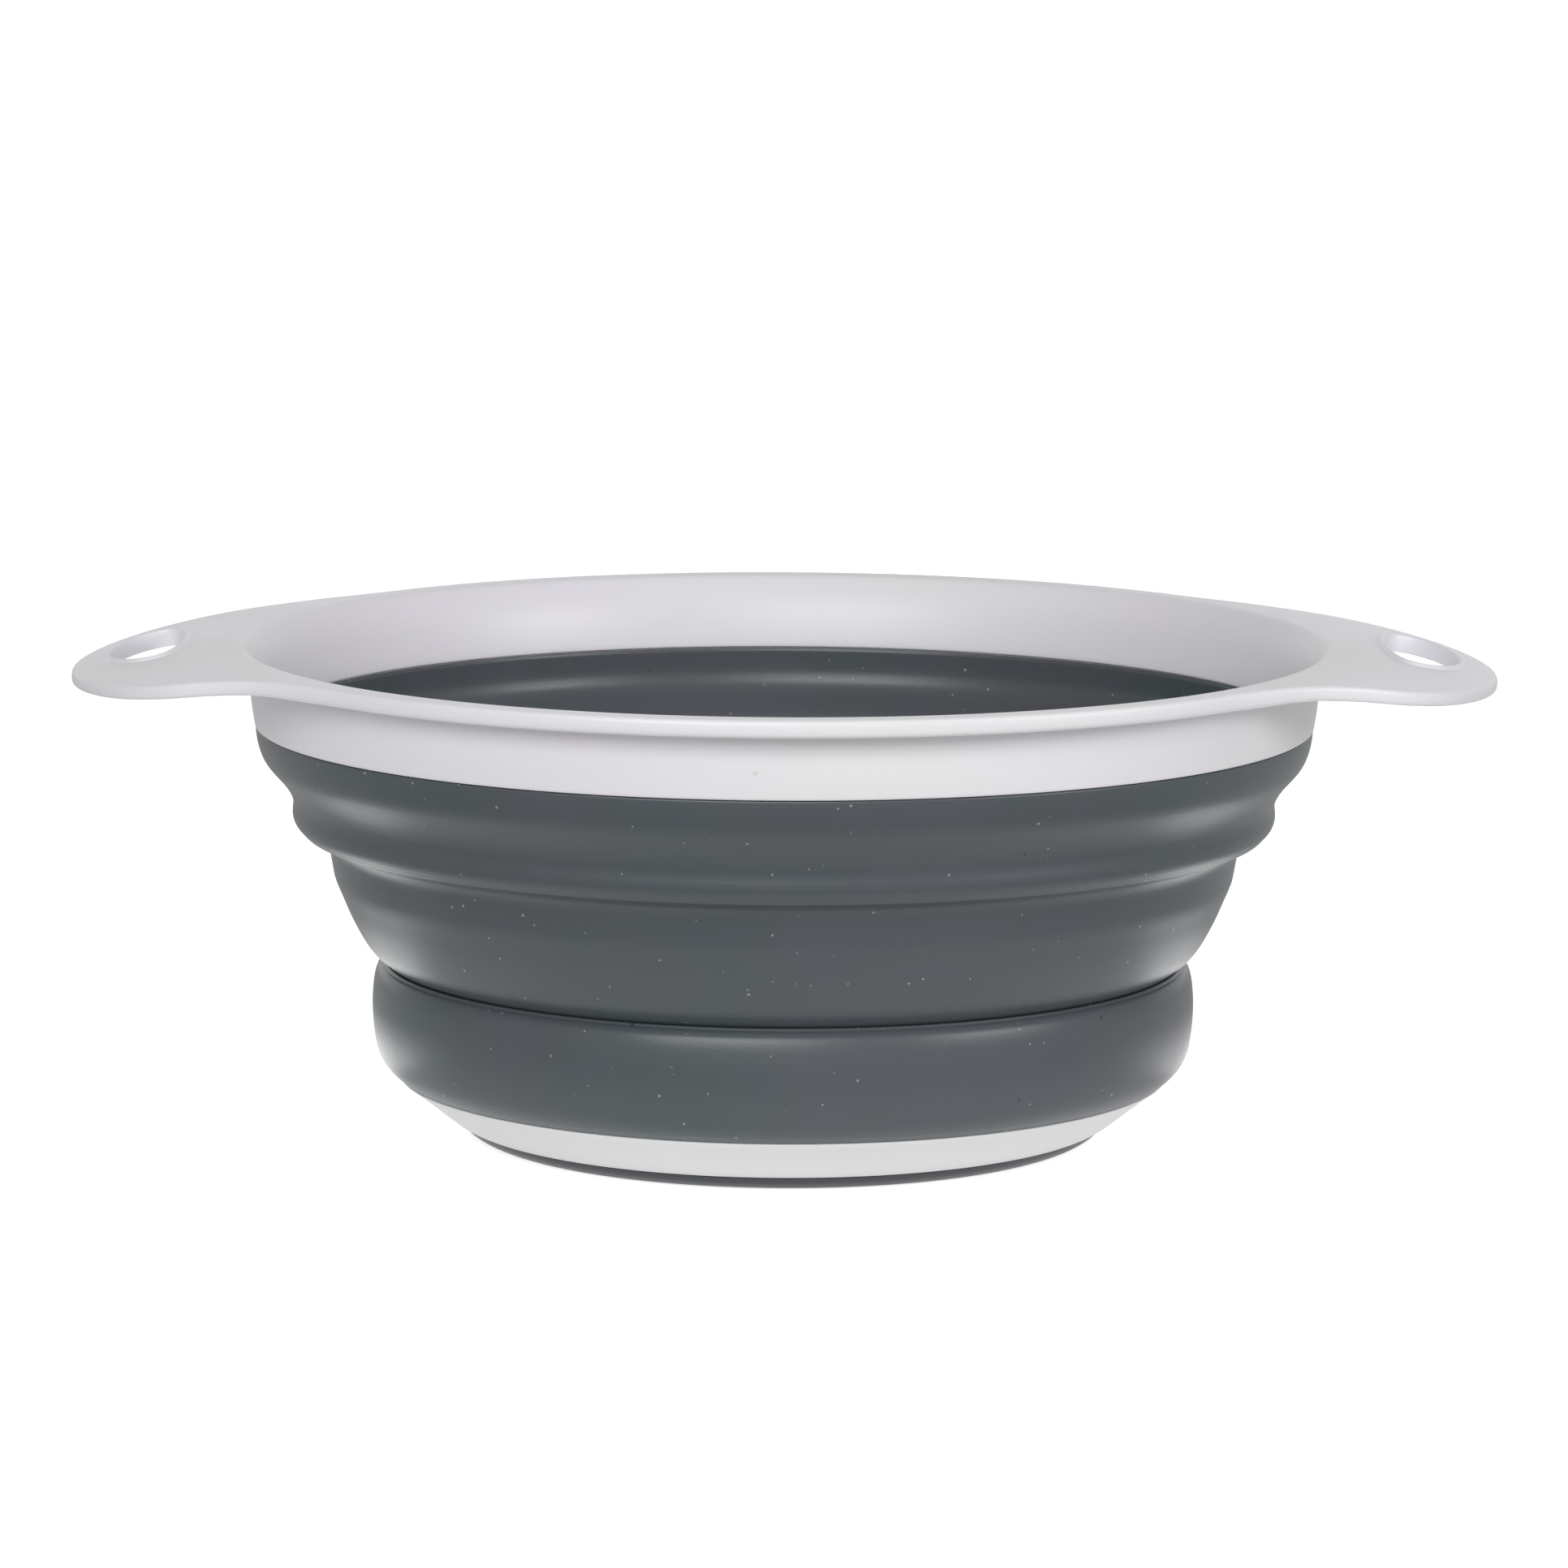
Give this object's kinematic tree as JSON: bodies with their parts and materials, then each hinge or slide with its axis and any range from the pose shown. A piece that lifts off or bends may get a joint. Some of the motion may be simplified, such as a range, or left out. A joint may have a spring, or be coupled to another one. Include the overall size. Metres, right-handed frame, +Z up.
{
  "type": "collapsible pet bathtub",
  "caption": "Round collapsible tub with a stiff rim and slotted handles, a soft concertina wall that folds down in steps, a stiff base pan and a soft foot ring.",
  "frame": {"origin": "centre of the foot ring's underside, on the surface that the tub stands on", "axes": "+Z up along the tub's axis, +X through the middle of one handle"},
  "size_m": [0.3, 0.2394, 0.1045],
  "materials": {
    "white_plastic": "satin white polypropylene, slightly cool",
    "grey_rubber": "satin slate-grey thermoplastic rubber"
  },
  "bodies": {
    "base": {"base_pan": "white_plastic", "foot_ring": "grey_rubber", "lower_ring": "grey_rubber", "lower_fold": "grey_rubber"},
    "ridge": {"ridge_ring": "grey_rubber", "upper_fold": "grey_rubber"},
    "rim": {"rim_frame": "white_plastic", "wall_top_hem": "grey_rubber"}
  },
  "joints": [
    {"name": "lower_fold_slide", "type": "slide", "parent": "base", "child": "ridge", "axis": [0, 0, -1], "range_m": [0, 0.045], "deforming": ["lower_fold"]},
    {"name": "upper_fold_slide", "type": "slide", "parent": "ridge", "child": "rim", "axis": [0, 0, -1], "range_m": [0, 0.022], "deforming": ["upper_fold"]}
  ]
}
